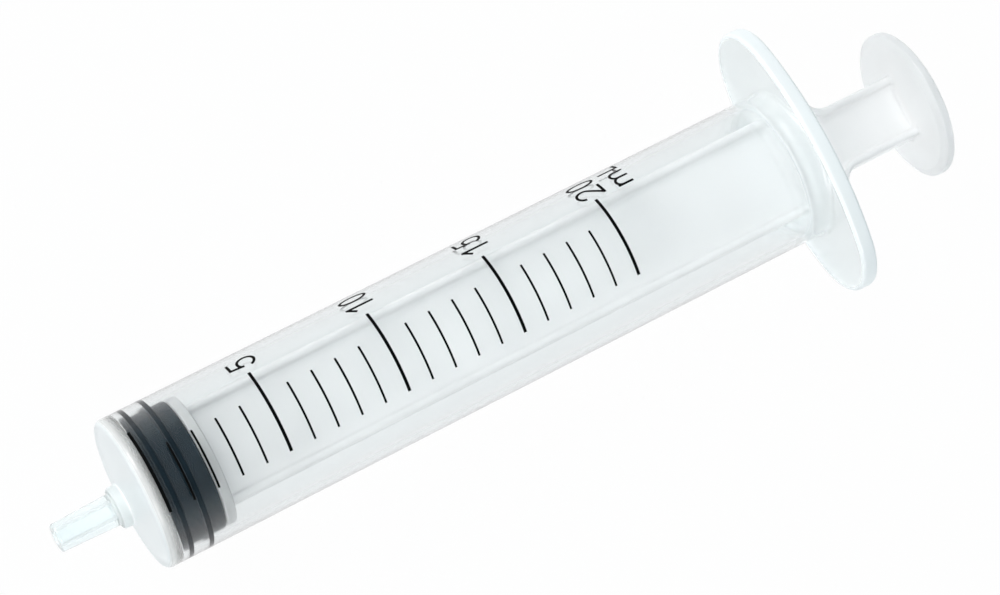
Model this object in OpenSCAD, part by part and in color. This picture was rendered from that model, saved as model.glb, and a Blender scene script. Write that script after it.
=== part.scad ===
// Slip-tip luer syringe of 20 mL with an off-centre nozzle, plunger pushed fully home.
// Three pieces: a moulded barrel, a rubber gasket that seals in it, and a plunger with a flat rod between two rails.
// The barrel's axis runs along X with the nozzle at -X, and the side that carries the scale faces +Z.
// The origin is under the middle of the whole syringe, on the surface that it lies on.

/* [Barrel] */
// Inside diameter of the barrel, which sets the volume per millimetre of stroke
bore_d = 19.15; // [18.4:0.05:20.4]
// Thickness of the barrel's tube wall
barrel_wall = 1.0; // [0.8:0.05:1.4]
// Length from the flat front face to the back of the flange
barrel_len = 103.5; // [95:0.1:115]
// Thickness of the closed front end
front_wall = 1.2; // [0.9:0.05:2]
// Rounding of the front face's outer edge
front_round = 0.8; // [0.4:0.05:1.2]
// Bevel inside the closed end, where the tube wall meets the floor
floor_bevel = 0.9; // [0.5:0.05:1.2]

/* [Flange] */
// Thickness of the finger flange
flange_t = 2.3; // [1.6:0.1:3]
// How far each ear reaches past the barrel's outside
ear_reach = 9.1; // [7:0.1:11]
// How far the two long sides stand past the barrel's outside
side_lip = 0.6; // [0.3:0.05:1]
// Radius of the gently curved long sides
side_r = 34; // [30:0.5:48]
// Rounding of the flange's edges
flange_round = 0.5; // [0.2:0.05:0.7]

/* [Retaining bead] */
// Distance from the middle of the bead inside the bore to the flange's back
bead_setback = 4.4; // [3.6:0.1:7]
// How far the bead stands in from the bore
bead_h = 0.33; // [0.2:0.01:0.4]
// Radius of the bead's round section
bead_r = 1.0; // [0.8:0.05:1.4]
// Chamfer at the open end of the bore
lead_in = 0.5; // [0.2:0.05:0.6]

/* [Nozzle] */
// Distance of the nozzle's axis from the barrel's axis
nozzle_offset = 7.3; // [6:0.1:7.4]
// Outside diameter at the nozzle's small end
nozzle_tip_d = 3.97; // [3.92:0.01:3.99]
// Growth in diameter per millimetre of length, the 6 percent luer taper
nozzle_taper = 0.06; // [0.059:0.0005:0.061]
// Length of the tapered part
nozzle_len = 8.5; // [7.5:0.1:10]
// Diameter of the fluid passage
nozzle_bore_d = 1.8; // [1.2:0.1:2.2]
// Chamfer on the nozzle's end
nozzle_chamfer = 0.25; // [0.1:0.05:0.4]
// Diameter of the short collar at the nozzle's foot
collar_d = 5.9; // [5.2:0.1:6.2]
// Length of the collar in front of the front face
collar_len = 1.5; // [1:0.1:2.5]
// Rounding of the collar's front edge
collar_round = 0.5; // [0.2:0.05:0.8]

/* [Gasket] */
// Length from the nose to the back of the gasket
gasket_len = 7.45; // [7.2:0.05:9.5]
// Gap left between the gasket's nose and the floor when the plunger is home
rest_gap = 0.25; // [0.15:0.05:0.5]
// Diameter of the flat at the front of the gasket's tapered nose
nose_d = 12.6; // [10:0.1:16.8]
// Length of the taper from that flat to the full body
nose_taper = 1.4; // [0.7:0.05:1.5]
// Distance from the nose to the front of the first sealing rib
seal_setback = 1.5; // [1.1:0.05:1.7]
// Distance from one sealing rib to the next
seal_pitch = 2.9; // [2.4:0.05:3.2]
// Width of a sealing rib
seal_w = 0.9; // [0.7:0.05:1.1]
// Rounding of a sealing rib's edges
seal_round = 0.25; // [0.1:0.05:0.3]
// Radial clearance of the sealing ribs in the bore
seal_fit = 0.05; // [0.02:0.01:0.1]
// How far the gasket's body lies inside the bore
land_relief = 0.45; // [0.42:0.01:0.6]

/* [Plunger head] */
// Diameter of the round neck that passes into the gasket
neck_d = 8.4; // [7:0.1:9]
// Diameter of the snap-in head
head_d = 12; // [10.5:0.1:13]
// Length of the head's straight band
head_band = 1.6; // [1.2:0.1:2]
// Length of the head's tapered front
head_cone = 1.9; // [1.2:0.1:2.2]
// Diameter of the flat at the head's front
head_front_d = 7.6; // [6:0.1:8.5]
// Length of neck between the pushing disc and the head
neck_len = 1.7; // [1.2:0.1:2]
// Clearance between the head and its socket in the gasket
head_fit = 0.08; // [0.04:0.01:0.1]
// Gap between the gasket's back and the pushing disc
disc_gap = 0.1; // [0.05:0.01:0.3]
// Thickness of the pushing disc
disc_t = 1.5; // [1.2:0.1:2.2]
// How far the pushing disc lies inside the bore
disc_relief = 0.5; // [0.42:0.01:0.8]
// Rounding of the pushing disc's edges
disc_round = 0.3; // [0.1:0.05:0.5]

/* [Plunger rod] */
// Width of the rod inside the barrel, over both rails
rod_span = 14.2; // [12:0.1:16]
// Thickness of the flat web between the rails
web_t = 1.6; // [1.2:0.1:2.2]
// Height of the rails that run along both edges of the web
rail_h = 4.2; // [3:0.1:6]
// Thickness of a rail
rail_t = 1.2; // [0.9:0.05:1.6]
// Width of the rod at the narrow waist in front of the press
waist_span = 9.1; // [8:0.1:10]
// Distance behind the flange at which the rod starts to draw in to the waist
shoulder_setback = 3.1; // [1:0.1:5]
// Clear space between the flange and the press when the plunger is home
press_gap = 15.9; // [13:0.1:19]
// Diameter of the thumb press
press_d = 21.3; // [19:0.1:24]
// Thickness of the thumb press
press_t = 1.7; // [1.5:0.1:2.6]
// Width of the bevel round the front of the press
press_bevel_w = 1.2; // [0.8:0.05:1.6]
// Depth of that bevel
press_bevel_h = 0.5; // [0.3:0.05:0.6]
// Rounding of the press's back edge
press_round = 0.4; // [0.2:0.05:0.6]

/* [Hidden] */
facets = 96;
overlap = 0.5;
bore_r = bore_d / 2;
barrel_r = bore_r + barrel_wall;
flange_front = barrel_len - flange_t;
ear_end = barrel_r + ear_reach;
flange_half_w = barrel_r + side_lip;
side_centre = side_r - flange_half_w;
ear_r = (side_r * side_r - ear_end * ear_end - side_centre * side_centre) / (2 * (side_r - ear_end));
ear_centre = ear_end - ear_r;
bead_at = barrel_len - bead_setback;
nozzle_root_d = nozzle_tip_d + nozzle_taper * nozzle_len;
nozzle_end = -collar_len - nozzle_len;
nose_at = front_wall + rest_gap;
land_r = bore_r - land_relief;
seal_r = bore_r - seal_fit;
gasket_back = nose_at + gasket_len;
disc_r = bore_r - disc_relief;
disc_front = gasket_back + disc_gap;
disc_back = disc_front + disc_t;
head_back = disc_front - neck_len;
head_front = head_back - head_band - head_cone;
press_front = barrel_len + press_gap;
press_back = press_front + press_t;
press_r = press_d / 2;
shoulder_at = barrel_len + shoulder_setback;
shoulder_r = (rod_span - waist_span) / 2;
middle = (nozzle_end + press_back) / 2;
clear = [0.86, 0.91, 0.91, 0.45];
milky = [0.90, 0.92, 0.91];
slate = [0.17, 0.20, 0.23];

// Moves a piece that is drawn along the barrel's axis, from its front face, to its place
module in_place() {
    translate([-middle, 0, flange_half_w]) children();
}

// Turns a profile of radius against length round the barrel's axis
module revolve() {
    rotate([0, 90, 0]) rotate_extrude($fn = facets) children();
}

// Profile of a disc from one place along the axis to another, with rounded outer edges
module disc_profile(r, from, to, round_from = 0, round_to = 0) {
    translate([0, from + round_from]) square([r, to - from - round_from - round_to]);
    if (round_from > 0) {
        translate([0, from]) square([r - round_from, round_from + round_to]);
        translate([r - round_from, from + round_from]) circle(round_from, $fn = facets);
    }
    if (round_to > 0) {
        translate([0, to - round_to - round_from]) square([r - round_to, round_to + round_from]);
        translate([r - round_to, to - round_to]) circle(round_to, $fn = facets);
    }
}

// Part of a round-edged plate about its own centre, between two lines square to its edge
module flange_sector(centre, r, wedge) {
    intersection() {
        translate([0, centre[0], centre[1]])
            revolve() disc_profile(r, flange_front, barrel_len, flange_round, flange_round);
        translate([flange_front - overlap, 0, 0])
            rotate([90, 0, 90]) linear_extrude(flange_t + 2 * overlap) polygon(wedge);
    }
}

// Oval of four tangent arcs: two long sides and two round ears, which meet on lines through the ears' centres
module flange() {
    reach = 2;
    out_y = ear_centre * (1 + reach);
    out_z = side_centre * reach;
    for (turn = [0, 180])
        rotate([turn, 0, 0]) {
            flange_sector([0, -side_centre], side_r,
                [[-ear_centre, 0], [ear_centre, 0], [out_y, out_z], [-out_y, out_z]]);
            flange_sector([ear_centre, 0], ear_r,
                [[ear_centre, 0], [out_y, -out_z], [out_y, out_z]]);
        }
}

// Space inside the tube: bevelled floor, plain bore with a retaining bead, and a chamfered mouth
module bore_profile() {
    difference() {
        polygon([
            [0, front_wall],
            [bore_r - floor_bevel, front_wall],
            [bore_r, front_wall + floor_bevel],
            [bore_r, barrel_len - lead_in],
            [bore_r + lead_in, barrel_len],
            [bore_r + lead_in, barrel_len + overlap],
            [0, barrel_len + overlap]
        ]);
        translate([bore_r + bead_r - bead_h, bead_at]) circle(bead_r, $fn = facets);
    }
}

// Tapered luer nozzle with its collar, standing on the front face
module nozzle() {
    translate([0, 0, -nozzle_offset]) revolve() {
        polygon([
            [0, nozzle_end],
            [nozzle_tip_d / 2 - nozzle_chamfer, nozzle_end],
            [nozzle_tip_d / 2 + nozzle_taper * nozzle_chamfer / 2, nozzle_end + nozzle_chamfer],
            [nozzle_root_d / 2, -collar_len],
            [0, -collar_len]
        ]);
        disc_profile(collar_d / 2, -collar_len, front_round, collar_round);
    }
}

module nozzle_passage() {
    translate([nozzle_end - overlap, 0, -nozzle_offset])
        rotate([0, 90, 0])
            cylinder(h = front_wall - nozzle_end + 2 * overlap, d = nozzle_bore_d, $fn = facets);
}

module barrel() {
    color(clear) in_place() difference() {
        union() {
            revolve() disc_profile(barrel_r, 0, barrel_len, front_round);
            flange();
            nozzle();
        }
        revolve() bore_profile();
        nozzle_passage();
    }
}

// Snap-in head of the plunger with its neck, or with a gap added all round, the socket that takes it
module head_profile(gap = 0) {
    polygon([
        [0, head_front - gap],
        [head_front_d / 2 + gap / 2, head_front - gap],
        [head_d / 2 + gap, head_front + head_cone - gap / 2],
        [head_d / 2 + gap, head_back + gap],
        [neck_d / 2 + gap, head_back + gap],
        [neck_d / 2 + gap, disc_front + overlap],
        [0, disc_front + overlap]
    ]);
}

module gasket() {
    color(slate) in_place() revolve() difference() {
        union() {
            polygon([
                [0, nose_at],
                [nose_d / 2, nose_at],
                [land_r, nose_at + nose_taper],
                [land_r, gasket_back],
                [0, gasket_back]
            ]);
            for (seal = [0, 1]) {
                seal_at = nose_at + seal_setback + seal * seal_pitch;
                disc_profile(seal_r, seal_at, seal_at + seal_w, seal_round, seal_round);
            }
        }
        head_profile(head_fit);
    }
}

// Outline of the rod seen from above, wide inside the barrel and drawn in to a narrow waist before the press
module rod_outline(inset = 0) {
    waist_at = shoulder_at + shoulder_r;
    from = disc_back - overlap - inset;
    difference() {
        translate([from, inset - rod_span / 2]) square([waist_at - from, rod_span - 2 * inset]);
        for (side = [-1, 1])
            translate([waist_at, side * rod_span / 2]) circle(shoulder_r + inset, $fn = facets);
    }
    translate([from, inset - waist_span / 2])
        square([press_front + overlap + inset - from, waist_span - 2 * inset]);
}

// Rod of H section: a flat web with a rail along each edge that follows its outline
module rod() {
    translate([0, 0, -web_t / 2]) linear_extrude(web_t) rod_outline();
    translate([0, 0, -rail_h / 2]) linear_extrude(rail_h) difference() {
        rod_outline();
        rod_outline(rail_t);
    }
}

// Thumb press: a disc with a bevelled front edge and a rounded back edge
module press_profile() {
    bevel_end = press_front + press_bevel_h;
    polygon([
        [0, press_front],
        [press_r - press_bevel_w, press_front],
        [press_r, bevel_end],
        [0, bevel_end]
    ]);
    disc_profile(press_r, bevel_end, press_back, 0, press_round);
}

module plunger() {
    color(milky) in_place() {
        revolve() head_profile();
        revolve() disc_profile(disc_r, disc_front, disc_back, disc_round, disc_round);
        rod();
        revolve() press_profile();
    }
}

barrel();
gasket();
plunger();
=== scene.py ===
# %% [markdown]
# # A clear slip-tip syringe
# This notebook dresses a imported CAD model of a 20 mL syringe. The real object has three moulded pieces: a
# clear barrel with an off-centre nozzle and an oval finger flange, a dark rubber gasket, and a milky
# plunger. On top of the barrel lies a thin layer of printed ink. The CAD nodes could be shown as they are,
# but they are loose triangles with sharp edges, and clear plastic shows every edge twice. So each piece is
# worked out again here as one smooth closed surface, in the same place and of the same size, and stands in
# for its node.

# %% Load the frame
import math

import bmesh
import bpy
import numpy as np
from mathutils import Matrix, Vector


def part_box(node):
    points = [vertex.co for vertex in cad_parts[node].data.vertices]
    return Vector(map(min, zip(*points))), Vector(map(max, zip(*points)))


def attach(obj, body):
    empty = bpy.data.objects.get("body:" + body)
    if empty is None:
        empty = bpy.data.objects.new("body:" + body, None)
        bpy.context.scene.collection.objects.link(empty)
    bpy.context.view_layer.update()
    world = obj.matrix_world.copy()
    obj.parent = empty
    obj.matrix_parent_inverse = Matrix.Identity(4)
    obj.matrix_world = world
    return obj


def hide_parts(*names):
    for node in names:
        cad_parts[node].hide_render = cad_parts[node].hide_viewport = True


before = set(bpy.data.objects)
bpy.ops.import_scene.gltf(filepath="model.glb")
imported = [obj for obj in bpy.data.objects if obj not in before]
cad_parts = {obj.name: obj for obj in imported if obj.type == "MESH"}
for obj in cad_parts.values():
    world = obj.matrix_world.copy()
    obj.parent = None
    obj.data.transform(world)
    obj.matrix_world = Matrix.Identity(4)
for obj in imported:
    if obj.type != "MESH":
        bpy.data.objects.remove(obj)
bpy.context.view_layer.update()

# %% [markdown]
# ## Lengths along the barrel
# A syringe is drawn along its own axis, so all lengths below are millimetres from the barrel's flat front
# face, and heights are from the axis. One function at the end moves them into the frame, which is in metres
# with its origin under the middle of the syringe. The box of the CAD barrel says where the front face is. The
# syringe lies on its flange, so the axis is half the flange's width above the floor.

# %% Where the barrel's front face and axis are
MM = 0.001
NOZZLE_LENGTH = 10.0
FLANGE_HALF_WIDTH = 11.175
FRONT_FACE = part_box("barrel")[0].x / MM + NOZZLE_LENGTH
AXIS_HEIGHT = FLANGE_HALF_WIDTH


def to_frame(points):
    """Points (length from the front face, across, up from the axis) in mm, shifted to the frame's origin and
    scaled to metres."""
    return (np.asarray(points) + [FRONT_FACE, 0.0, AXIS_HEIGHT]) * MM


print("front face at", round(FRONT_FACE, 3), "mm, axis", AXIS_HEIGHT, "mm above the floor")

# %% [markdown]
# ## Camera
# The photograph looks down on the syringe with a long lens and a tilted horizon. The camera could be turned
# with angles, but it is easier to read as a place, a point that it looks at, and a roll about its own line
# of sight, which build a turning matrix from three square directions.

# %% Camera
CAMERA_PLACE = np.array([-128.149, -36.796, 459.694]) * MM
CAMERA_AIM = np.array([0.457, 1.436, 11.175]) * MM
CAMERA_ROLL = math.radians(28.063)
LENS_LENGTH = 127.0
SENSOR_WIDTH = 36.0


def unit(vector):
    """The vector divided by its length."""
    return vector / np.linalg.norm(vector)


forward = unit(CAMERA_AIM - CAMERA_PLACE)
across_view = unit(np.array([0.0, 1.0, 0.0]) - forward[1] * forward)
up = math.cos(CAMERA_ROLL) * across_view + math.sin(CAMERA_ROLL) * np.cross(forward, across_view)
right = np.cross(forward, up)

camera = bpy.data.objects.new("camera", bpy.data.cameras.new("camera"))
bpy.context.scene.collection.objects.link(camera)
turn = np.column_stack([right, up, -forward])
camera.matrix_world = Matrix.Translation(Vector(CAMERA_PLACE)) @ Matrix(turn.tolist()).to_4x4()
camera.data.lens = LENS_LENGTH
camera.data.sensor_width = SENSOR_WIDTH
camera.data.sensor_fit = "HORIZONTAL"
camera.data.clip_start = 0.01
camera.data.clip_end = 20.0
bpy.context.scene.camera = camera
print("camera looks along", forward.round(3))

# %% [markdown]
# ## From a grid of points to a mesh
# Every piece of a syringe is a stack of rings: circles for the tube and the gasket, an oval for the flange,
# an H for the plunger's rod. A ring per row and a point per column make a grid, and four neighbours make a
# face. The rings always close round the axis. The stack ends in a point on the axis, in a flat lid, or in
# its own first row, where the surface closes on itself like a tyre.

# %% Grid helpers
def grid_shell(points, closed=False, first=None, last=None, lids=False):
    """Vertices and faces of stacked rings, points[row, column]: each face joins (row, column) to the next
    row, the next column on that row, and back. The ends stay open, unless closed joins the last row to the
    first, first and last are points that close them as fans, or lids closes them with flat faces."""
    rows, columns = points.shape[:2]
    index = np.arange(rows * columns).reshape(rows, columns)
    beside = np.roll(index, -1, axis=1)
    below = np.roll(index, -1, axis=0)
    quads = np.stack([index, below, np.roll(below, -1, axis=1), beside], axis=-1)
    quads = quads if closed else quads[:-1]
    faces = quads.reshape(-1, 4).tolist()
    vertices = [points.reshape(-1, 3)]
    if first is not None:
        tip = np.full(columns, rows * columns)
        vertices.append(np.reshape(first, (1, 3)))
        faces += np.stack([tip, index[0], beside[0]], axis=-1).tolist()
    if last is not None:
        tip = np.full(columns, rows * columns + (first is not None))
        vertices.append(np.reshape(last, (1, 3)))
        faces += np.stack([index[-1], tip, beside[-1]], axis=-1).tolist()
    if lids:
        faces += [index[0].tolist(), index[-1][::-1].tolist()]
    return np.concatenate(vertices), faces


def new_piece(name, shells, sharp_degrees=35.0):
    """One object from one or more shells: their vertices stacked, their face numbers shifted to match.
    Edges that turn by more than sharp_degrees stay crisp, and the rest shade smoothly."""
    starts = np.cumsum([0] + [len(vertices) for vertices, _ in shells[:-1]])
    vertices = np.concatenate([shell[0] for shell in shells])
    faces = [[corner + int(start) for corner in face]
             for start, (_, shell_faces) in zip(starts, shells) for face in shell_faces]
    mesh = bpy.data.meshes.new(name)
    mesh.from_pydata(to_frame(vertices).tolist(), [], faces)
    mesh.polygons.foreach_set("use_smooth", np.ones(len(faces), bool))
    mesh.set_sharp_from_angle(angle=math.radians(sharp_degrees))
    piece = bpy.data.objects.new(name, mesh)
    bpy.context.scene.collection.objects.link(piece)
    shape = bmesh.new()
    shape.from_mesh(mesh)
    open_edges = sum(not edge.is_manifold for edge in shape.edges)
    print(name, "has", len(faces), "faces,", open_edges, "open edges and",
          round(shape.calc_volume(signed=True) * 1e6, 3), "cm3")
    shape.free()
    return piece


sample_points, sample_faces = grid_shell(np.zeros((3, 4, 3)))
print("3 rings of 4 points make", len(sample_points), "vertices and", len(sample_faces), "faces")

# %% [markdown]
# ## Profiles with softened corners
# Moulded plastic has no truly sharp edge, and the bright and dark lines in a picture of clear plastic all
# come from its small roundings. A Bevel modifier could make them, but here each corner carries its own
# radius. So a profile is a list of corners, and each is replaced by the arc that touches both of its sides.

# %% Profile helper
def softened(corners, steps=6, hold=0.05):
    """Points (length, radius) along straight sides whose corners are arcs. For a corner of rounding q whose
    sides meet at the angle a, the arc starts q / tan(a/2) from the corner, and its centre is q / sin(a/2)
    away. A point just outside each arc holds the flat side flat."""
    places = np.array([corner[:2] for corner in corners], float)
    roundings = [corner[2] for corner in corners[1:-1]]
    line = [places[:1]]
    for before, corner, after, rounding in zip(places, places[1:], places[2:], roundings):
        back, ahead = unit(before - corner), unit(after - corner)
        half_angle = math.acos(np.clip(back @ ahead, -1, 1)) / 2
        reach = rounding / math.tan(half_angle)
        centre = corner + unit(back + ahead) * rounding / math.sin(half_angle)
        start, end = corner + back * reach - centre, corner + ahead * reach - centre
        sweep = math.pi - 2 * half_angle
        share = np.linspace(0, 1, steps + 1)[:, None]
        arc = centre + (np.sin((1 - share) * sweep) * start + np.sin(share * sweep) * end) / math.sin(sweep)
        line += [(corner + back * (reach + hold))[None], arc, (corner + ahead * (reach + hold))[None]]
    line.append(places[-1:])
    return np.concatenate(line)


sample = softened([(0, 0), (10, 0, 1), (10, 10)])
print("a square corner of rounding 1 becomes", len(sample), "points")

# %% [markdown]
# ## Barrel: the finger flange's outline
# The flange is an oval of four arcs that run into each other: two long sides of large radius and two round
# ears. Seen from the axis every direction meets the outline once, so its distance is a function of the
# angle. The outward direction at each point comes from the centre of its arc, and is needed to round the
# flange's edge.

# %% Flange outline
COLUMNS = 288
TUBE_RADIUS = 10.575
SIDE_RADIUS = 34.0
EAR_END = 19.675
angle = 2 * np.pi * np.arange(COLUMNS) / COLUMNS
circle = np.stack([np.sin(angle), np.cos(angle)], axis=-1)
side_centre = SIDE_RADIUS - FLANGE_HALF_WIDTH
ear_radius = (SIDE_RADIUS**2 - EAR_END**2 - side_centre**2) / (2 * (SIDE_RADIUS - EAR_END))
ear_centre = EAR_END - ear_radius


def flange_outline():
    """Outline points and outward directions for each column. On a ray at angle t from up, a circle of radius
    R whose centre lies d behind the axis is met at -d cos t + sqrt(R^2 - (d sin t)^2). The ears swap sine
    and cosine and have their centre in front. Sides and ears meet where the line through both centres
    leaves."""
    sine, cosine = np.abs(circle[:, 0]), np.abs(circle[:, 1])
    meet = np.array([ear_centre, side_centre]) * SIDE_RADIUS / math.hypot(ear_centre, side_centre)
    meet[1] -= side_centre
    on_ear = sine * meet[1] > cosine * meet[0]
    side_reach = -side_centre * cosine + np.sqrt(SIDE_RADIUS**2 - (side_centre * sine) ** 2)
    ear_reach = ear_centre * sine + np.sqrt(np.maximum(ear_radius**2 - (ear_centre * cosine) ** 2, 0))
    outline = circle * np.where(on_ear, ear_reach, side_reach)[:, None]
    ear_middle = np.stack([ear_centre * np.sign(circle[:, 0]), np.zeros(COLUMNS)], axis=-1)
    side_middle = np.stack([np.zeros(COLUMNS), -side_centre * np.sign(circle[:, 1])], axis=-1)
    outward = outline - np.where(on_ear[:, None], ear_middle, side_middle)
    return outline, outward / np.linalg.norm(outward, axis=1, keepdims=True)


outline, outward = flange_outline()
print("flange", round(np.ptp(outline[:, 0]), 2), "by", round(np.ptp(outline[:, 1]), 2), "mm")

# %% [markdown]
# ## Barrel: nozzle and front face
# The nozzle sits low on the front face, 7.3 mm off the barrel's axis. It is a luer cone, which grows by 6
# percent of its length, on a short collar. Its rings and the tube's rings have different centres. Each
# column therefore runs along the line from the nozzle's axis to its own point on the tube's rim, so the
# rings slide from one centre to the other across the front face without a seam.

# %% Nozzle and front face
NOZZLE_OFFSET = 7.3
PASSAGE_RADIUS = 0.9
TIP_RADIUS = 1.985
ROOT_RADIUS = 2.24
COLLAR_RADIUS = 2.95
COLLAR_LENGTH = 1.5
FRONT_WALL = 1.2
FRONT_ROUND = 0.8
FACE_ROWS = 29
nozzle_middle = np.array([0.0, -NOZZLE_OFFSET])
to_rim = circle * TUBE_RADIUS - nozzle_middle
rim_distance = np.linalg.norm(to_rim, axis=1)
nozzle_circle = to_rim / rim_distance[:, None]


def rings(lengths, planes):
    """Grid of points from one length per row, or per row and column, and the (across, up) points of each
    ring."""
    lengths = np.broadcast_to(np.reshape(lengths, (len(planes), -1)), planes.shape[:2])
    return np.concatenate([lengths[..., None], planes], axis=-1)


def front_height(radius):
    """Length of the front face at a distance from the axis: flat, then a quarter circle down to the tube."""
    past = np.clip(radius - (TUBE_RADIUS - FRONT_ROUND), 0, FRONT_ROUND)
    return FRONT_ROUND - np.sqrt(np.maximum(FRONT_ROUND**2 - past**2, 0))


nozzle_profile = softened([
    (FRONT_WALL - 0.05, PASSAGE_RADIUS),
    (-NOZZLE_LENGTH, PASSAGE_RADIUS, 0.15),
    (-NOZZLE_LENGTH, TIP_RADIUS, 0.3),
    (-COLLAR_LENGTH, ROOT_RADIUS, 0.2),
    (-COLLAR_LENGTH, COLLAR_RADIUS, 0.5),
    (-0.3, COLLAR_RADIUS),
])
nozzle_rows = rings(nozzle_profile[:, 0], nozzle_middle + nozzle_profile[:, 1, None, None] * nozzle_circle)

# The rows crowd towards the rim, where the face rounds off.
across_face = 1 - (1 - np.linspace(0, 1, FACE_ROWS)) ** 3
face_distance = COLLAR_RADIUS + across_face[:, None] * (rim_distance - COLLAR_RADIUS)
face_planes = nozzle_middle + face_distance[..., None] * nozzle_circle
face_rows = rings(front_height(np.linalg.norm(face_planes, axis=-1)), face_planes)
print("nozzle rows", len(nozzle_rows), "front face rows", len(face_rows))

# %% [markdown]
# ## Barrel: tube, flange and bore
# The outside carries on along the tube, turns out over a small fillet onto the flange, goes round the
# flange's edge and comes back inside: a rounded mouth, a low bead that keeps the gasket in, the plain bore,
# and a bevel onto the floor. The last rings slide back to the passage, where the surface meets its own
# first row.

# %% Tube and flange
FLANGE_FRONT = 101.2
FLANGE_BACK = 103.5
FLANGE_ROUND = 0.5
FILLET_SHARE = 0.6
FILLET_LIMITS = (0.05, 0.6)
FACE_SHARES = [0.05, 0.5, 0.95]
quarter = np.linspace(0, np.pi / 2, 9)[:, None]

tube_lengths = np.array([0.9, 2.0, 30.0, 60.0, 90.0, 100.0])
tube_rows = rings(tube_lengths, np.broadcast_to(circle * TUBE_RADIUS, (len(tube_lengths), COLUMNS, 2)))

lip = np.linalg.norm(outline, axis=1) - FLANGE_ROUND - TUBE_RADIUS
fillet = np.clip(FILLET_SHARE * lip, *FILLET_LIMITS)
fillet_planes = (TUBE_RADIUS + fillet * (1 - np.cos(quarter)))[..., None] * circle
fillet_rows = rings(FLANGE_FRONT - fillet * (1 - np.sin(quarter)), fillet_planes)


def between(start, end, shares):
    """Rings part of the way from one ring of points to another: start + share (end - start)."""
    return start + np.asarray(shares)[:, None, None] * (end - start)


edge_planes = outline - (FLANGE_ROUND * (1 - np.sin(quarter)))[..., None] * outward
front_edge = rings(FLANGE_FRONT + FLANGE_ROUND * (1 - np.cos(quarter)), edge_planes)
back_edge = rings(FLANGE_BACK - FLANGE_ROUND * (1 - np.cos(quarter)), edge_planes)[::-1]
flange_face = between(fillet_rows[-1], front_edge[0], FACE_SHARES)
print("tube rows", len(tube_rows), "flange edge rows", len(front_edge) + len(back_edge))

# %% Bore
BORE_RADIUS = 9.575
BORE_ROUND = 0.4
BEAD_PLACE = 99.1
BEAD_HEIGHT = 0.33
BEAD_RADIUS = 1.0
BEVEL_START = 2.1
BEVEL_RADIUS = 8.675
FLOOR_RADIUS = 8.4
MOUTH_ROUND = 0.5

mouth = rings(FLANGE_BACK - MOUTH_ROUND * (1 - np.cos(quarter)),
              (BORE_RADIUS + MOUTH_ROUND * (1 - np.sin(quarter)))[..., None] * circle)
flange_back = between(back_edge[-1], mouth[0], FACE_SHARES)

bead_half = math.sqrt(BEAD_RADIUS**2 - (BEAD_RADIUS - BEAD_HEIGHT) ** 2)
bead_lengths = BEAD_PLACE + bead_half * np.cos(np.linspace(0, np.pi, 17))
bead_bulge = np.sqrt(BEAD_RADIUS**2 - (bead_lengths - BEAD_PLACE) ** 2)
bead_radii = BORE_RADIUS + BEAD_RADIUS - BEAD_HEIGHT - bead_bulge
behind_bead = [(102.9, BORE_RADIUS), (100.0, BORE_RADIUS)]
plain_bore = softened([
    (98.0, BORE_RADIUS),
    (BEVEL_START, BORE_RADIUS, BORE_ROUND),
    (FRONT_WALL, BEVEL_RADIUS, BORE_ROUND),
    (FRONT_WALL, FLOOR_RADIUS),
])
bore_profile = np.concatenate([behind_bead, np.stack([bead_lengths, bead_radii], axis=-1), plain_bore])
bore_rows = rings(bore_profile[:, 0], bore_profile[:, 1, None, None] * circle)
floor_end = rings([FRONT_WALL], (nozzle_middle + PASSAGE_RADIUS * nozzle_circle)[None])[0]
floor_rows = between(bore_rows[-1], floor_end, [0.3, 0.6, 0.85, 1.0])
print("bore rows", len(bore_rows), "floor rows", len(floor_rows))

# %% The whole barrel
barrel_rows = [nozzle_rows, face_rows, tube_rows, fillet_rows, flange_face, front_edge, back_edge,
               flange_back, mouth, bore_rows, floor_rows]
barrel = new_piece("clear_barrel", [grid_shell(np.concatenate(barrel_rows), closed=True)])
on_edge = np.concatenate([np.full(len(rows), float(rows is front_edge or rows is back_edge))
                          for rows in barrel_rows])
edge_mark = barrel.data.attributes.new("flange_edge", "FLOAT", "POINT")
edge_mark.data.foreach_set("value", np.repeat(on_edge, COLUMNS))
print("rows on the flange's edge", int(on_edge.sum()))

# %% [markdown]
# ## Gasket
# The gasket is a rubber plug turned round the axis: a bevelled nose, two sealing ribs, and at the back a
# socket with an undercut that the plunger's head snaps into. In the real syringe the rubber is squeezed
# against the bore, and where it touches, the wall shows its dark colour right out to the edge. So the ribs
# here press a fortieth of a millimetre into the wall.

# %% Gasket
SQUEEZE = 0.025
SEAL_RADIUS = BORE_RADIUS + SQUEEZE
SEAL_WIDTH = 0.9
LAND_RADIUS = 9.125
GASKET_NOSE = 1.45
GASKET_BACK = 8.9
NECK_RADIUS = 4.28
UNDERCUT = 7.38
SOCKET_RADIUS = 6.08
SOCKET_FLOOR = 3.72


def seal_corners(place):
    """Corners of one sealing rib: up from the land, across, and down again, with a soft foot on each side."""
    return [(place, LAND_RADIUS, 0.15), (place, SEAL_RADIUS, 0.22),
            (place + SEAL_WIDTH, SEAL_RADIUS, 0.22), (place + SEAL_WIDTH, LAND_RADIUS, 0.15)]


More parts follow.
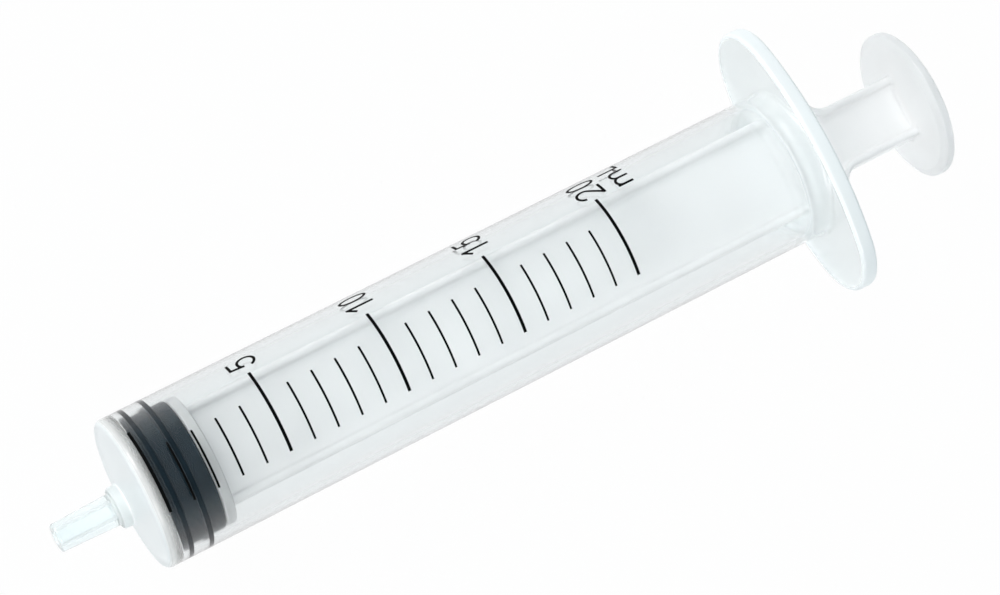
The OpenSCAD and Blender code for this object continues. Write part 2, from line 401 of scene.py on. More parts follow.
gasket_profile = softened([
    (GASKET_NOSE, 0.0), (GASKET_NOSE, 6.3, 0.5), (2.85, LAND_RADIUS, 0.05),
    *seal_corners(2.95), *seal_corners(5.85),
    (GASKET_BACK, LAND_RADIUS, 0.3), (GASKET_BACK, NECK_RADIUS, 0.2),
    (UNDERCUT, NECK_RADIUS, 0.15), (UNDERCUT, SOCKET_RADIUS, 0.2),
    (5.66, SOCKET_RADIUS, 0.2), (SOCKET_FLOOR, 3.84, 0.2), (SOCKET_FLOOR, 0.0)])
gasket_rows = rings(gasket_profile[1:-1, 0], gasket_profile[1:-1, 1, None, None] * circle)
gasket_shell = grid_shell(gasket_rows, first=(GASKET_NOSE, 0, 0), last=(SOCKET_FLOOR, 0, 0))
gasket = new_piece("rubber_gasket", [gasket_shell])

# %% [markdown]
# ## Plunger
# The plunger is a flat rod with a snap-in head and a pushing disc at one end and a round thumb press at the
# other. Seen along its axis the rod is an H: a web with a rail along each edge. Plates and discs could be
# joined with booleans, but those leave ragged seams. An H is also a ring: go along the web, through a
# fillet, up the rail's inside, over its edge and down its outside. If every row has its columns in those
# same places, the discs and the rod stack into one surface.

# %% The rod's H-shaped ring
EDGE_ROUND = 0.55
FILLET_WIDTH = 3.2
FILLET_HEIGHT = 0.74
WEB_POINTS = 9
SIDE_POINTS = 3
TURN_POINTS = 7


def whole_ring(quarter_ring):
    """A ring from its first quarter, which runs from up to across: the lower quarter is its mirror image read
    backwards, and the other side is both of these mirrored and read backwards."""
    lower = quarter_ring[:, -2::-1] * [1, -1]
    half = np.concatenate([quarter_ring, lower], axis=1)
    return np.concatenate([half, half[:, -2:0:-1] * [-1, 1]], axis=1)


def column(values):
    """One value per row, as a column of numbers."""
    return np.reshape(values, (-1, 1)).astype(float)


def h_rings(outside, inside, rail, web):
    """Rings of an H, one per row, from the rail's outside and inside places across and the half heights of
    rail and web. Straight sides are even steps and corners are quarter circles. The fillet between web and
    rail is a quarter of an ellipse: as high as its size, and as wide as its size or nine tenths of the web,
    if that is less."""
    outside, inside, rail, web = column(outside), column(inside), column(rail), column(web)
    even = np.linspace(0, 1, WEB_POINTS + 1)[None, :-1]
    few = np.linspace(0, 1, SIDE_POINTS + 2)[None, 1:-1]
    turn = np.linspace(0, np.pi / 2, TURN_POINTS)[None, :]
    edge, high = EDGE_ROUND, FILLET_HEIGHT
    wide = np.minimum(FILLET_WIDTH, 0.9 * inside)
    across = np.concatenate([
        even * (inside - wide), inside - wide + wide * np.sin(turn), inside + 0 * few,
        inside + edge - edge * np.cos(turn), inside + edge + few * (outside - inside - 2 * edge),
        outside - edge + edge * np.sin(turn), outside + 0 * even[:, 1:], outside], axis=1)
    height = np.concatenate([
        web + 0 * even, web + high - high * np.cos(turn), web + high + few * (rail - edge - web - high),
        rail - edge + edge * np.sin(turn), rail + 0 * few,
        rail - edge + edge * np.cos(turn), (rail - edge) * (1 - even[:, 1:]), 0 * rail], axis=1)
    return whole_ring(np.stack([across, height], axis=-1))


RAIL_OUTSIDE = 7.1
RAIL_THICKNESS = 1.2
RAIL_HALF = 2.1
WEB_HALF = 0.8
WAIST_OUTSIDE = 4.55
section = h_rings([RAIL_OUTSIDE], [RAIL_OUTSIDE - RAIL_THICKNESS], [RAIL_HALF], [WEB_HALF])
print("a ring of the rod has", section.shape[1], "points")

# %% [markdown]
# Where the rod meets a disc, the H has to open out into a circle. A ring round the H, with the web's points
# lifted to the height of the rails, fills the two channels, and from there every point moves straight out
# to the circle.

# %% Rings that fill the channels
ROOT_FILLET = 0.45
BOX_MARGIN = 0.15


def box_ring(rail_outside):
    """The H's ring of points, grown by the fillet at its root and moved out to a box round it. Points of the
    web and the rail's inside are spread evenly along the box's long side, and all move out by the margin."""
    outside, rail = rail_outside + ROOT_FILLET, RAIL_HALF + ROOT_FILLET
    ring = h_rings([outside], [rail_outside - RAIL_THICKNESS - ROOT_FILLET], [rail], [WEB_HALF])[0]
    count = (len(ring) + 4) // 4
    first = ring[:count].copy()
    channel = WEB_POINTS + TURN_POINTS + SIDE_POINTS + TURN_POINTS - 1
    first[:channel, 0] = np.linspace(0, first[channel, 0], channel, endpoint=False)
    first[:channel, 1] = rail
    first += BOX_MARGIN * first / [outside, rail]
    return whole_ring(first[None])[0]


disc_box = box_ring(RAIL_OUTSIDE)
press_box = box_ring(WAIST_OUTSIDE)
disc_circle = disc_box / np.linalg.norm(disc_box, axis=1, keepdims=True)
press_circle = press_box / np.linalg.norm(press_box, axis=1, keepdims=True)
print("the box round the rod is", np.ptp(disc_box, axis=0).round(2), "mm")

# %% [markdown]
# The rod keeps its width through the barrel, then draws in along a quarter circle to a narrow waist for the
# fingers. The rails keep their thickness, so their inside follows a circle about the same centre. Small
# fillets spread the rod where it meets the disc and the press, as a mould needs.

# %% Snap-in head and pushing disc
HEAD_FRONT = 3.8
HEAD_BACK = 7.3
HEAD_RADIUS = 6.0
STEM_RADIUS = 4.2
DISC_FRONT = 9.0
DISC_BACK = 10.5
DISC_RADIUS = 9.075
head_profile = softened([
    (HEAD_FRONT, 0.0), (HEAD_FRONT, 3.8, 0.3), (5.7, HEAD_RADIUS, 0.3), (HEAD_BACK, HEAD_RADIUS, 0.2),
    (HEAD_BACK, STEM_RADIUS, 0.2), (DISC_FRONT, STEM_RADIUS, 0.2), (DISC_FRONT, DISC_RADIUS, 0.3),
    (DISC_BACK, DISC_RADIUS, 0.3), (DISC_BACK, 8.5)])
head_rows = rings(head_profile[1:, 0], head_profile[1:, 1, None, None] * disc_circle)
print("head and disc rows", len(head_rows))

# %% Rod and waist
SHOULDER = 106.6
SHOULDER_EDGE = 0.35
PRESS_FRONT = 119.4
shoulder_round = RAIL_OUTSIDE - WAIST_OUTSIDE
waist_at = SHOULDER + shoulder_round


def rail_inside(length):
    """Place of the rail's inside at a length: for a distance d before the waist, the shoulder's circle of
    radius R grown by the rail's thickness leaves sqrt(R^2 - d^2) between its centre line and the rail."""
    grown = shoulder_round + RAIL_THICKNESS
    ahead = np.clip(waist_at - length, 0, grown)
    return np.minimum(RAIL_OUTSIDE - np.sqrt(grown**2 - ahead**2), RAIL_OUTSIDE - RAIL_THICKNESS)


# The slices leave out points that would fall on each other or crowd where the edge runs into the arc.
straight_rod = [(DISC_BACK + ROOT_FILLET + 0.1, RAIL_OUTSIDE), (40.0, RAIL_OUTSIDE), (80.0, RAIL_OUTSIDE)]
before_shoulder = np.stack([np.linspace(104.0, SHOULDER - 0.45, 8), np.full(8, RAIL_OUTSIDE)], axis=-1)
shoulder_edge = softened([
    (SHOULDER - 0.4, RAIL_OUTSIDE),
    (SHOULDER, RAIL_OUTSIDE, SHOULDER_EDGE),
    (SHOULDER, RAIL_OUTSIDE - 0.4),
])[1:-2]
arc = np.linspace(0, np.pi / 2, 13)[1:]
shoulder_arc = np.stack([SHOULDER + shoulder_round * (1 - np.cos(arc)),
                         RAIL_OUTSIDE - shoulder_round * np.sin(arc)], axis=-1)[2:]
waist = [(112.0, WAIST_OUTSIDE), (PRESS_FRONT - ROOT_FILLET - 0.1, WAIST_OUTSIDE)]
rod_path = np.concatenate([straight_rod, before_shoulder, shoulder_edge, shoulder_arc, waist])
even_rows = np.ones(len(rod_path))
rod_rows = rings(rod_path[:, 0], h_rings(rod_path[:, 1], rail_inside(rod_path[:, 0]), RAIL_HALF * even_rows,
                                         WEB_HALF * even_rows))
print("rod rows", len(rod_rows), "waist from", round(waist_at, 2), "mm")

# %% Fillets, press and the whole plunger
PRESS_BACK = 121.1
PRESS_RADIUS = 10.65
spread = ROOT_FILLET * (1 - np.cos(quarter[:, 0]))
rise = ROOT_FILLET * (1 - np.sin(quarter[:, 0]))


def root_rings(outside):
    """Rings of the H that grow by the fillet's spread on every side."""
    return h_rings(outside + spread, outside - RAIL_THICKNESS - spread, RAIL_HALF + spread, WEB_HALF + spread)


foot_rows = rings((DISC_BACK + rise)[::-1], root_rings(RAIL_OUTSIDE)[::-1])
root_rows = rings(PRESS_FRONT - rise, root_rings(WAIST_OUTSIDE))
press_profile = softened([
    (PRESS_FRONT, 6.5), (PRESS_FRONT, 9.45, 0.3), (119.9, PRESS_RADIUS, 0.25),
    (PRESS_BACK, PRESS_RADIUS, 0.4), (PRESS_BACK, 0.0)])
press_rows = rings(press_profile[:-1, 0], press_profile[:-1, 1, None, None] * press_circle)
plunger_rows = [head_rows, rings([DISC_BACK], disc_box[None]), foot_rows, rod_rows, root_rows,
                rings([PRESS_FRONT], press_box[None]), press_rows]
plunger_shell = grid_shell(np.concatenate(plunger_rows), first=(HEAD_FRONT, 0, 0), last=(PRESS_BACK, 0, 0))
plunger = new_piece("milky_plunger", [plunger_shell])

# %% [markdown]
# ## Printed scale
# The scale is ink on the tube: a line for each millilitre from 0 to 20, every fifth one longer and bolder,
# with plain numbers beside them. Paint in the barrel's material could carry it, but a line of a third of a
# millimetre needs a very fine texture. So the ink is a film, and each stroke is a ribbon that is drawn on the
# unrolled tube, along it and round it, and then bent onto the tube.

# %% Ribbons of ink
INK_LOW = TUBE_RADIUS - 0.006
INK_HIGH = TUBE_RADIUS + 0.018


def ribbon(path, width):
    """Shell of one stroke. path is (length, distance round the tube) in mm. Its sides lie half a width to
    each side, square to the path's direction. A distance s round a tube of radius R is the angle s / R."""
    path = np.asarray(path, float)
    ahead = np.gradient(path, axis=0)
    ahead /= np.linalg.norm(ahead, axis=1, keepdims=True)
    left = np.stack([-ahead[:, 1], ahead[:, 0]], axis=-1) * width / 2
    sides = np.stack([path - left, path - left, path + left, path + left], axis=1)
    turned = sides[..., 1] / TUBE_RADIUS
    height = np.array([INK_LOW, INK_HIGH, INK_HIGH, INK_LOW])
    points = np.stack([sides[..., 0], height * np.sin(turned), height * np.cos(turned)], axis=-1)
    return grid_shell(points, lids=True)


sample_points, sample_faces = ribbon([(0.0, 0.0), (0.0, 1.0), (0.0, 2.0)], 0.3)
print("a ribbon of 3 points has", len(sample_points), "vertices and", len(sample_faces), "faces")

# %% Lines
ZERO_MARK = 2.1
MILLILITRE = 3.472
LINE_START = -27.6
THIN_END = 17.5
BOLD_END = 38.7
THIN_WIDTH = 0.3
BOLD_WIDTH = 0.44
marks = np.arange(21)


def mark_line(mark):
    """Ribbon of one graduation: an arc round the tube, longer and bolder at every fifth millilitre. Its ends
    are angles in degrees from the top of the tube."""
    bold = mark % 5 == 0
    ends = np.radians([LINE_START, BOLD_END if bold else THIN_END]) * TUBE_RADIUS
    distance = np.linspace(*ends, 41)
    length = np.full_like(distance, ZERO_MARK + mark * MILLILITRE)
    return ribbon(np.stack([length, distance], axis=-1), BOLD_WIDTH if bold else THIN_WIDTH)


strokes = [mark_line(mark) for mark in marks]
print(len(strokes), "graduations over", round(20 * MILLILITRE, 1), "mm")

# %% [markdown]
# The numbers are strokes too, of straight lines and parts of ellipses, in a plain round-cornered hand. Each
# is drawn upright with its foot at 0 and then laid down, so that it reads outwards from its line with its
# head towards the nozzle.

# %% Numbers
def line(*points, steps=12):
    """Points along straight sides through the given corners, evenly spread between each pair."""
    points = np.array(points, float)
    share = np.linspace(0, len(points) - 1, steps * (len(points) - 1) + 1)
    return np.stack([np.interp(share, np.arange(len(points)), points[:, k]) for k in (0, 1)], axis=-1)


def curve(middle, radii, start, end, steps=40):
    """Part of an ellipse from one angle to another in degrees: middle + radii times cosine and sine."""
    turned = np.radians(np.linspace(start, end, steps + 1))
    return np.array(middle) + np.stack([radii[0] * np.cos(turned), radii[1] * np.sin(turned)], axis=-1)


PEN = 0.4
NUMBER_HEIGHT = 4.0
UNIT_STEP = 4.0
hand = {
    "0": [curve((0.95, 2.0), (0.86, 1.82), 90, 450, 64)],
    "1": [line((0.05, 2.72), (0.95, 3.72)), line((1.0, 4.0), (1.0, 0.0))],
    "2": [curve((1.22, 2.72), (0.98, 1.1), 172, -32), line((2.05, 2.14), (0.22, 0.2)),
          line((0.06, 0.19), (2.4, 0.19))],
    "5": [line((0.37, 3.81), (2.12, 3.81)), line((0.55, 3.95), (0.34, 1.85)),
          curve((1.14, 1.36), (1.1, 1.17), 140, -158)],
    "m": [line((0.0, 2.25), (0.0, 0.0)), curve((0.83, 1.35), (0.83, 0.8), 180, 0),
          line((1.66, 1.4), (1.66, 0.0)), curve((2.49, 1.35), (0.83, 0.8), 180, 0),
          line((3.32, 1.4), (3.32, 0.0))],
    "L": [line((0.0, 3.05), (0.0, 0.0)), line((-0.18, 0.19), (1.7, 0.19))],
}


def written(sign, foot, start):
    """Ribbons of one sign, turned so that its upward direction runs towards the nozzle."""
    return [ribbon(np.stack([foot - stroke[:, 1], start + stroke[:, 0]], axis=-1), PEN)
            for stroke in hand[sign]]


def mark_place(mark):
    """Length of the foot of a number that is centred on its line."""
    return ZERO_MARK + mark * MILLILITRE + NUMBER_HEIGHT / 2


# Each sign comes with its millilitre and the distance round the tube at which it starts.
numbers = [("5", 5, 8.32), ("1", 10, 8.32), ("0", 10, 10.85), ("1", 15, 8.32), ("5", 15, 10.75),
           ("2", 20, 7.62), ("0", 20, 10.85)]
for sign, mark, start in numbers:
    strokes += written(sign, mark_place(mark), start)
for sign, start in [("m", 7.44), ("L", 12.05)]:
    strokes += written(sign, mark_place(20) + UNIT_STEP, start)
scale = new_piece("printed_scale", strokes)

# %% [markdown]
# ## Finishes in nodes
# Every finish below is a small tree of nodes that reads the place on the object, so it stays put when a
# piece moves, and no picture is needed. The trees could be clicked together in the shader editor. In code a
# few helpers make each finish a handful of lines, and the numbers stay in sight.

# %% Nodes and links
def new_material(name):
    """A material with its node tree cleared, and its output node."""
    material = bpy.data.materials.new(name)
    material.use_nodes = True
    material.node_tree.nodes.clear()
    return material, material.node_tree.nodes.new("ShaderNodeOutputMaterial")


def add(material, kind, **settings):
    """A new node of that kind. Settings with a capital letter are sockets, and the others are properties."""
    node = material.node_tree.nodes.new(kind)
    for key, value in settings.items():
        if key[0].isupper():
            node.inputs[key.replace("_", " ")].default_value = value
        else:
            setattr(node, key, value)
    return node


def join(material, start, end):
    """A link from an output socket to an input socket."""
    material.node_tree.links.new(start, end)


def combined(material, operation, *values):
    """Two values, sockets or numbers, put through one step of arithmetic, as a socket."""
    node = add(material, "ShaderNodeMath", operation=operation)
    for value, socket in zip(values, node.inputs):
        if isinstance(value, float):
            socket.default_value = value
        else:
            join(material, value, socket)
    return node.outputs["Value"]


def along(material, start, end, low, high):
    """A value that goes from low to high between two lengths along the barrel in mm, as a socket."""
    place = add(material, "ShaderNodeTexCoord")
    parts = add(material, "ShaderNodeSeparateXYZ")
    ends = [(length + FRONT_FACE) * MM for length in (start, end)]
    step = add(material, "ShaderNodeMapRange", interpolation_type="SMOOTHSTEP", From_Min=ends[0],
               From_Max=ends[1], To_Min=low, To_Max=high)
    join(material, place.outputs["Object"], parts.inputs["Vector"])
    join(material, parts.outputs["X"], step.inputs["Value"])
    return step.outputs["Result"]


print("lengths along the barrel start at", round(FRONT_FACE * MM, 5), "m in object space")

# %% Grain, relief and colour
RAMP_LOW = 0.3
RAMP_HIGH = 0.7


def grain(material, scale, detail=3.0):
    """A noise pattern in object space, with scale grains to the metre. The result is its value socket."""
    place = add(material, "ShaderNodeTexCoord")
    noise = add(material, "ShaderNodeTexNoise", Scale=scale, Detail=detail)
    join(material, place.outputs["Object"], noise.inputs["Vector"])
    return noise.outputs["Fac"]


def between_values(material, value, low, high):
    """A value from RAMP_LOW to RAMP_HIGH, where most noise lies, spread over low to high, as a socket."""
    spread_node = add(material, "ShaderNodeMapRange", From_Min=RAMP_LOW, From_Max=RAMP_HIGH, To_Min=low,
                      To_Max=high)
    join(material, value, spread_node.inputs["Value"])
    return spread_node.outputs["Result"]


def uneven(material, value, shader, strength, depth):
    """Bump from a value on a shader: strength is its share and depth its height in metres."""
    bump = add(material, "ShaderNodeBump", Strength=strength, Distance=depth)
    join(material, value, bump.inputs["Height"])
    join(material, bump.outputs["Normal"], shader.inputs["Normal"])


def paint(material, value, dark, light, shader):
    """Base colour that goes from dark to light as a value goes from RAMP_LOW to RAMP_HIGH. The result is its
    ramp."""
    ramp = add(material, "ShaderNodeValToRGB")
    ramp.color_ramp.elements[0].position = RAMP_LOW
    ramp.color_ramp.elements[0].color = dark
    ramp.color_ramp.elements[1].position = RAMP_HIGH
    ramp.color_ramp.elements[1].color = light
    join(material, value, ramp.inputs["Fac"])
    join(material, ramp.outputs["Color"], shader.inputs["Base Color"])
    return ramp


def light_passes(material, output, shader, tint):
    """Sends shader to the output, except for shadow rays, which see a tinted pane."""
    path = add(material, "ShaderNodeLightPath")
    pane = add(material, "ShaderNodeBsdfTransparent", Color=tint)
    mix = add(material, "ShaderNodeMixShader")
    join(material, path.outputs["Is Shadow Ray"], mix.inputs["Fac"])
    join(material, shader.outputs["BSDF"], mix.inputs[1])
    join(material, pane.outputs["BSDF"], mix.inputs[2])
    join(material, mix.outputs["Shader"], output.inputs["Surface"])


print("ramps and ranges read values from", RAMP_LOW, "to", RAMP_HIGH)

# %% [markdown]
# ## Clear plastic
# The barrel is clear polypropylene: it lets light through, bends it a little less than glass, and turns
# hazy where the wall is thick or the mould was rough: at the nozzle, on the front face, round the mouth and
# the flange, and most of all along the flange's edge. Haze could be a cloud inside the wall, but that
# renders slowly and a glTF file can't hold it. So haze is a value from 0 to 1, read from the place along
# the barrel and from a mark on the flange's edge. What haze leaves over passes through as in glass, and the
# rest is white, with a duller gloss. The colour follows the same places through one ramp: a painted shade
# greys the collar, the tube turns a little greyer before the flange, a warm painted shade darkens the front
# rim, and painted light whitens the flange's edge. The surface is very faintly wavy.

# %% Tint, painted shade and painted light of the clear plastic
PLASTIC_IOR = 1.49
NOZZLE_TINT = (0.905, 0.943, 0.947, 1.0)
# The collar's grey is painted shade.
COLLAR_PAINTED_SHADE = (0.75, 0.785, 0.785, 1.0)
CLEAR_TINT = (0.945, 0.96, 0.962, 1.0)
# The flange edge's whiter colour is painted light.
EDGE_PAINTED_LIGHT = (0.965, 0.98, 0.98, 1.0)
# The front rim's warm, darker band is painted shade.
RIM_PAINTED_SHADE = (0.905, 0.89, 0.875, 1.0)
COLLAR_SHADE_STOP = 0.5
EDGE_LIGHT_STOP = 0.85
RIM_SHADE_STOP = 1.0
MOUTH_GREY = 0.04
MOUTH_SPAN = (95.0, 99.6)
clear, clear_output = new_material("clear_polypropylene")
clear_shader = add(clear, "ShaderNodeBsdfPrincipled", IOR=PLASTIC_IOR)
flange_edge = add(clear, "ShaderNodeAttribute", attribute_name="flange_edge").outputs["Fac"]

# Towards the collar the colour moves onto its painted shade.
to_collar_shade = along(clear, -2.0, -1.4, RAMP_LOW, COLLAR_SHADE_STOP)
to_face = along(clear, -0.3, -0.02, 0.0, RAMP_HIGH - COLLAR_SHADE_STOP)
to_mouth = along(clear, *MOUTH_SPAN, 0.0, -MOUTH_GREY)
# Round the front rim, from 0.02 to 2.3 mm, the colour moves onto a warm painted shade and back.
onto_rim_shade = along(clear, 0.02, 0.4, 0.0, RIM_SHADE_STOP - RAMP_HIGH)
off_rim_shade = along(clear, 1.7, 2.3, 0.0, RAMP_HIGH - RIM_SHADE_STOP)
# On the flange's edge the colour moves onto its painted light.
onto_edge_light = combined(clear, "MULTIPLY", flange_edge, EDGE_LIGHT_STOP - RAMP_HIGH)

tube_place = combined(clear, "ADD", combined(clear, "ADD", to_collar_shade, to_face), to_mouth)
# The rim's painted shade and the edge's painted light shift the place on the ramp.
rim_shade_and_edge_light = combined(clear, "ADD", combined(clear, "ADD", onto_rim_shade, off_rim_shade), onto_edge_light)
tint_place = combined(clear, "ADD", tube_place, rim_shade_and_edge_light)
tints = paint(clear, tint_place, NOZZLE_TINT, CLEAR_TINT, clear_shader)
# Extra stops: the collar's painted shade, the edge's painted light and the rim's painted shade.
for stop, tint in [(COLLAR_SHADE_STOP, COLLAR_PAINTED_SHADE), (EDGE_LIGHT_STOP, EDGE_PAINTED_LIGHT), (RIM_SHADE_STOP, RIM_PAINTED_SHADE)]:
    tints.color_ramp.elements.new(stop).color = tint
print("the clear plastic has", len(tints.color_ramp.elements), "tints")

# %% Haze of the clear plastic
NOZZLE_HAZE = 0.24
FRONT_HAZE = 0.8
TUBE_HAZE_SHARE = 0.003
FLANGE_HAZE = 0.4
EDGE_HAZE = 0.92
CLEAR_ROUGHNESS = 0.08
HAZE_ROUGHNESS = 0.25
nozzle_haze = along(clear, -2.0, -1.3, NOZZLE_HAZE, FRONT_HAZE)
front_haze = combined(clear, "MULTIPLY", nozzle_haze, along(clear, 0.2, 1.9, 1.0, TUBE_HAZE_SHARE))
tube_haze = combined(clear, "MAXIMUM", front_haze, along(clear, *MOUTH_SPAN, 0.0, FLANGE_HAZE))
haze = combined(clear, "MAXIMUM", tube_haze, combined(clear, "MULTIPLY", flange_edge, EDGE_HAZE))
join(clear, combined(clear, "SUBTRACT", 1.0, haze), clear_shader.inputs["Transmission Weight"])
dull = combined(clear, "MULTIPLY", haze, HAZE_ROUGHNESS)
join(clear, combined(clear, "ADD", dull, CLEAR_ROUGHNESS), clear_shader.inputs["Roughness"])
print("haze is", NOZZLE_HAZE, "at the nozzle,", FRONT_HAZE, "on the front and", EDGE_HAZE, "on the edge")

# %% [markdown]
# A plain glass shader would also throw a dark shadow on everything inside, because a renderer can't easily
# send lamp light through two curved walls. So for shadow rays the barrel is a tinted pane.

# %% Relief and shadow of the clear plastic
CLEAR_PANE = (0.84, 0.85, 0.855, 1.0)
uneven(clear, grain(clear, 700.0), clear_shader, 0.1, 0.00002)
light_passes(clear, clear_output, clear_shader, CLEAR_PANE)
barrel.data.materials.append(clear)
print("clear plastic has", len(clear.node_tree.nodes), "nodes")

# %% [markdown]
# ## Milky plastic, rubber and ink
# The plunger is the same plastic without the clarifier, so light scatters in it. A volume could do that
# too, but half rough glass and half white is quicker and bakes well. The white is faintly cloudy under a
# fine moulded grain, with a painted shade that greys it by the dark gasket and painted light that whitens
# the thick press. The rubber is a dark slate with a fine grain and a soft sheen. The ink is black, a little
# worn where the screen printed thin, with the slight relief of a printed film.

# %% Milky plastic
MILKY_PANE = (0.85, 0.86, 0.87, 1.0)
milky, milky_output = new_material("milky_polypropylene")
milky_shader = add(milky, "ShaderNodeBsdfPrincipled", IOR=PLASTIC_IOR)
# The rod's white, with a painted shade that greys it towards the dark gasket.
rod_white_and_gasket_shade = along(milky, 10.0, 60.0, 0.8, 0.85)
# Painted light that whitens the press.
press_painted_light = along(milky, 117.0, 119.6, 0.0, 0.05)
clouds = between_values(milky, grain(milky, 110.0, detail=2.0), -0.025, 0.025)
white_with_painted_shade_and_light = combined(milky, "ADD", rod_white_and_gasket_shade, press_painted_light)
join(milky, combined(milky, "ADD", white_with_painted_shade_and_light, clouds), milky_shader.inputs["Base Color"])
uneven(milky, grain(milky, 1600.0), milky_shader, 0.12, 0.00005)
join(milky, along(milky, 10.0, 119.0, 0.56, 0.5), milky_shader.inputs["Transmission Weight"])
join(milky, along(milky, 10.0, 119.0, 0.36, 0.3), milky_shader.inputs["Roughness"])
light_passes(milky, milky_output, milky_shader, MILKY_PANE)
plunger.data.materials.append(milky)
print("milky plastic has", len(milky.node_tree.nodes), "nodes")

# %% Rubber and ink
RUBBER_DARK = (0.002, 0.007, 0.012, 1.0)
RUBBER_LIGHT = (0.004, 0.011, 0.018, 1.0)
rubber, rubber_output = new_material("slate_rubber")
rubber_shader = add(rubber, "ShaderNodeBsdfPrincipled", Specular_IOR_Level=0.05)
paint(rubber, grain(rubber, 400.0), RUBBER_DARK, RUBBER_LIGHT, rubber_shader)
join(rubber, between_values(rubber, grain(rubber, 900.0), 0.42, 0.6), rubber_shader.inputs["Roughness"])
uneven(rubber, grain(rubber, 2500.0), rubber_shader, 0.25, 0.0001)
join(rubber, rubber_shader.outputs["BSDF"], rubber_output.inputs["Surface"])
gasket.data.materials.append(rubber)

INK_DARK = (0.001, 0.001, 0.001, 1.0)
INK_LIGHT = (0.004, 0.004, 0.004, 1.0)
ink, ink_output = new_material("black_ink")
ink_shader = add(ink, "ShaderNodeBsdfPrincipled", Specular_IOR_Level=0.04)
paint(ink, grain(ink, 3000.0), INK_DARK, INK_LIGHT, ink_shader)
join(ink, between_values(ink, grain(ink, 1500.0), 0.35, 0.55), ink_shader.inputs["Roughness"])
uneven(ink, grain(ink, 4000.0), ink_shader, 0.2, 0.00002)
join(ink, ink_shader.outputs["BSDF"], ink_output.inputs["Surface"])
scale.data.materials.append(ink)
print("materials", [material.name for material in (clear, milky, rubber, ink)])

# %% [markdown]
# ## What rides on what
# Each piece moves with its CAD body and stands for the CAD node of the same shape. The ink moves with the
# barrel.

# %% Riding
for piece, body, finish_slot in [(barrel, "barrel", "barrel_plastic"), (gasket, "gasket", "gasket_rubber"),
                                 (plunger, "plunger", "plunger_plastic")]:
    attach(piece, body)
    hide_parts(body)
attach(scale, "barrel")

# %% [markdown]
# ## Floor and light
# A clear object is drawn by what it bends and mirrors, so the light matters more than the material. The
# picture is taken in a white tent: a white floor, soft light that is brightest near the horizon, and two
# soft lamps on the nozzle's side, the stronger one from the left. The floor could simply be white, but a
# lit white is grey in the picture. So it glows for rays that see it straight or mirrored, and less for
# those that come through plastic. The rest of it is plain lit white, so that the syringe still casts a soft
# shadow.

# %% Floor
FLOOR_HALF = 3.0
corner_y, corner_x = np.meshgrid([-FLOOR_HALF, FLOOR_HALF], [-FLOOR_HALF, FLOOR_HALF])
floor_mesh = bpy.data.meshes.new("floor")
floor_mesh.from_pydata(np.stack([corner_x, corner_y, 0 * corner_x], axis=-1).reshape(-1, 3).tolist(), [],
                       [[0, 2, 3, 1]])
floor = bpy.data.objects.new("floor", floor_mesh)
bpy.context.scene.collection.objects.link(floor)

STRAIGHT_GLOW = 0.98
THROUGH_LOSS = 0.24
FLOOR_COLOUR = (0.64, 0.67, 0.685, 1.0)
white, white_output = new_material("white_floor")
lit = add(white, "ShaderNodeBsdfDiffuse", Color=FLOOR_COLOUR)
glow = add(white, "ShaderNodeEmission", Color=(1.0, 1.0, 1.0, 1.0), Strength=1.0)
floor_mix = add(white, "ShaderNodeMixShader")
seen = add(white, "ShaderNodeLightPath")
straight = combined(white, "MAXIMUM", seen.outputs["Is Camera Ray"], seen.outputs["Is Glossy Ray"])
through = seen.outputs["Is Transmission Ray"]
glow_share = combined(white, "SUBTRACT", STRAIGHT_GLOW, combined(white, "MULTIPLY", through, THROUGH_LOSS))
any_sight = combined(white, "MAXIMUM", straight, through)
join(white, combined(white, "MULTIPLY", any_sight, glow_share), floor_mix.inputs["Fac"])
join(white, lit.outputs["BSDF"], floor_mix.inputs[1])
join(white, glow.outputs["Emission"], floor_mix.inputs[2])
join(white, floor_mix.outputs["Shader"], white_output.inputs["Surface"])
floor_mesh.materials.append(white)
print("floor", 2 * FLOOR_HALF, "m wide")

# %% Tent
OVERHEAD_SHARE = 0.45
HORIZON_COLOUR = (0.9, 0.93, 0.94, 1.0)
WALL_COLOUR = (0.5, 0.6, 0.64, 1.0)
OVERHEAD_COLOUR = (0.08, 0.14, 0.17, 1.0)
world = bpy.data.worlds.new("white_tent")
bpy.context.scene.world = world
world.use_nodes = True
world.node_tree.nodes.clear()
tent_output = add(world, "ShaderNodeOutputWorld")
tent = add(world, "ShaderNodeBackground", Strength=1.0)
backdrop = add(world, "ShaderNodeBackground", Color=(1.0, 1.0, 1.0, 1.0), Strength=1.0)
tent_mix = add(world, "ShaderNodeMixShader")
tent_path = add(world, "ShaderNodeLightPath")
direction = add(world, "ShaderNodeTexCoord")
direction_parts = add(world, "ShaderNodeSeparateXYZ")
tent_ramp = add(world, "ShaderNodeValToRGB")
tent_ramp.color_ramp.elements[0].position = 0.0
tent_ramp.color_ramp.elements[0].color = HORIZON_COLOUR
tent_ramp.color_ramp.elements[1].position = 0.75
tent_ramp.color_ramp.elements[1].color = OVERHEAD_COLOUR
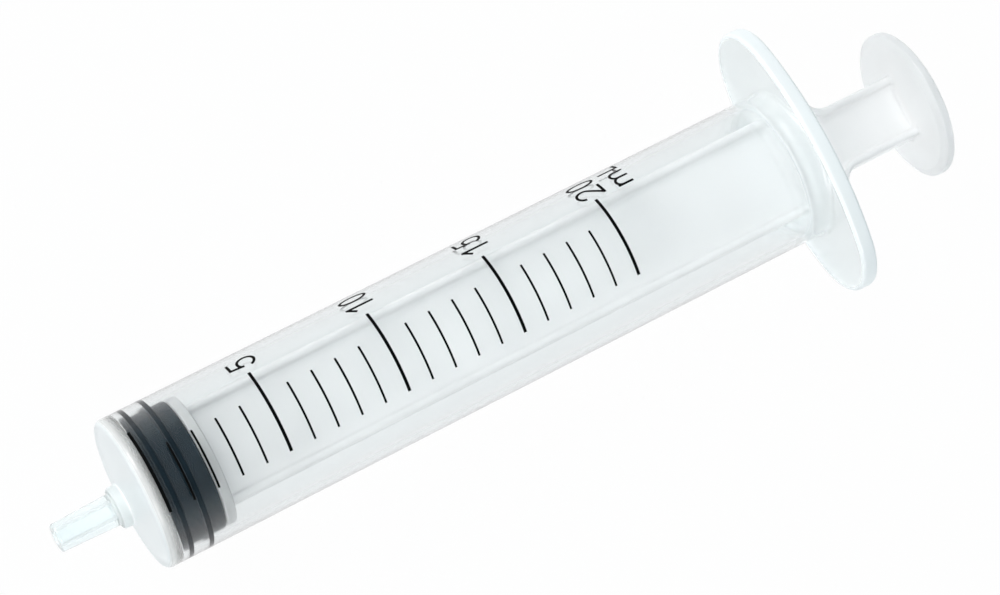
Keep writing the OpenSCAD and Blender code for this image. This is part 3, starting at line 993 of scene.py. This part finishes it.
tent_ramp.color_ramp.elements.new(0.3).color = WALL_COLOUR
join(world, direction.outputs["Generated"], direction_parts.inputs["Vector"])
join(world, direction_parts.outputs["Z"], tent_ramp.inputs["Fac"])
join(world, tent_ramp.outputs["Color"], tent.inputs["Color"])

no_bounce = combined(world, "LESS_THAN", tent_path.outputs["Diffuse Depth"], 0.5)
fading = add(world, "ShaderNodeMapRange", From_Min=0.2, From_Max=0.5, To_Min=1.0, To_Max=OVERHEAD_SHARE)
join(world, direction_parts.outputs["Z"], fading.inputs["Value"])
backdrop_ray = combined(world, "MULTIPLY", no_bounce, fading.outputs["Result"])
through_plastic = combined(world, "MULTIPLY", tent_path.outputs["Is Transmission Ray"], backdrop_ray)
sees_backdrop = combined(world, "MAXIMUM", tent_path.outputs["Is Camera Ray"], through_plastic)
join(world, sees_backdrop, tent_mix.inputs["Fac"])
join(world, tent.outputs["Background"], tent_mix.inputs[1])
join(world, backdrop.outputs["Background"], tent_mix.inputs[2])
join(world, tent_mix.outputs["Shader"], tent_output.inputs["Surface"])
print("tent has", len(world.node_tree.nodes), "nodes")

# %% Lamps
LAMP_COLOUR = (1.0, 0.985, 0.97)
LAMP_SIZE = 0.5


def soft_lamp(name, place, power):
    """A square lamp at a place in metres that faces the origin."""
    lamp = bpy.data.objects.new(name, bpy.data.lights.new(name, "AREA"))
    lamp.data.shape = "RECTANGLE"
    lamp.data.size = LAMP_SIZE
    lamp.data.size_y = LAMP_SIZE
    lamp.data.energy = power
    lamp.data.color = LAMP_COLOUR
    facing = (-Vector(place)).to_track_quat("-Z", "Y")
    lamp.matrix_world = Matrix.Translation(place) @ facing.to_matrix().to_4x4()
    bpy.context.scene.collection.objects.link(lamp)
    return lamp


key_lamp = soft_lamp("key_lamp", (-0.34, 0.62, 0.7), 7.0)
fill_lamp = soft_lamp("fill_lamp", (-0.34, -0.62, 0.62), 3.8)
bpy.context.scene.view_settings.view_transform = "Standard"
print("lamps", [lamp.name for lamp in (key_lamp, fill_lamp)])
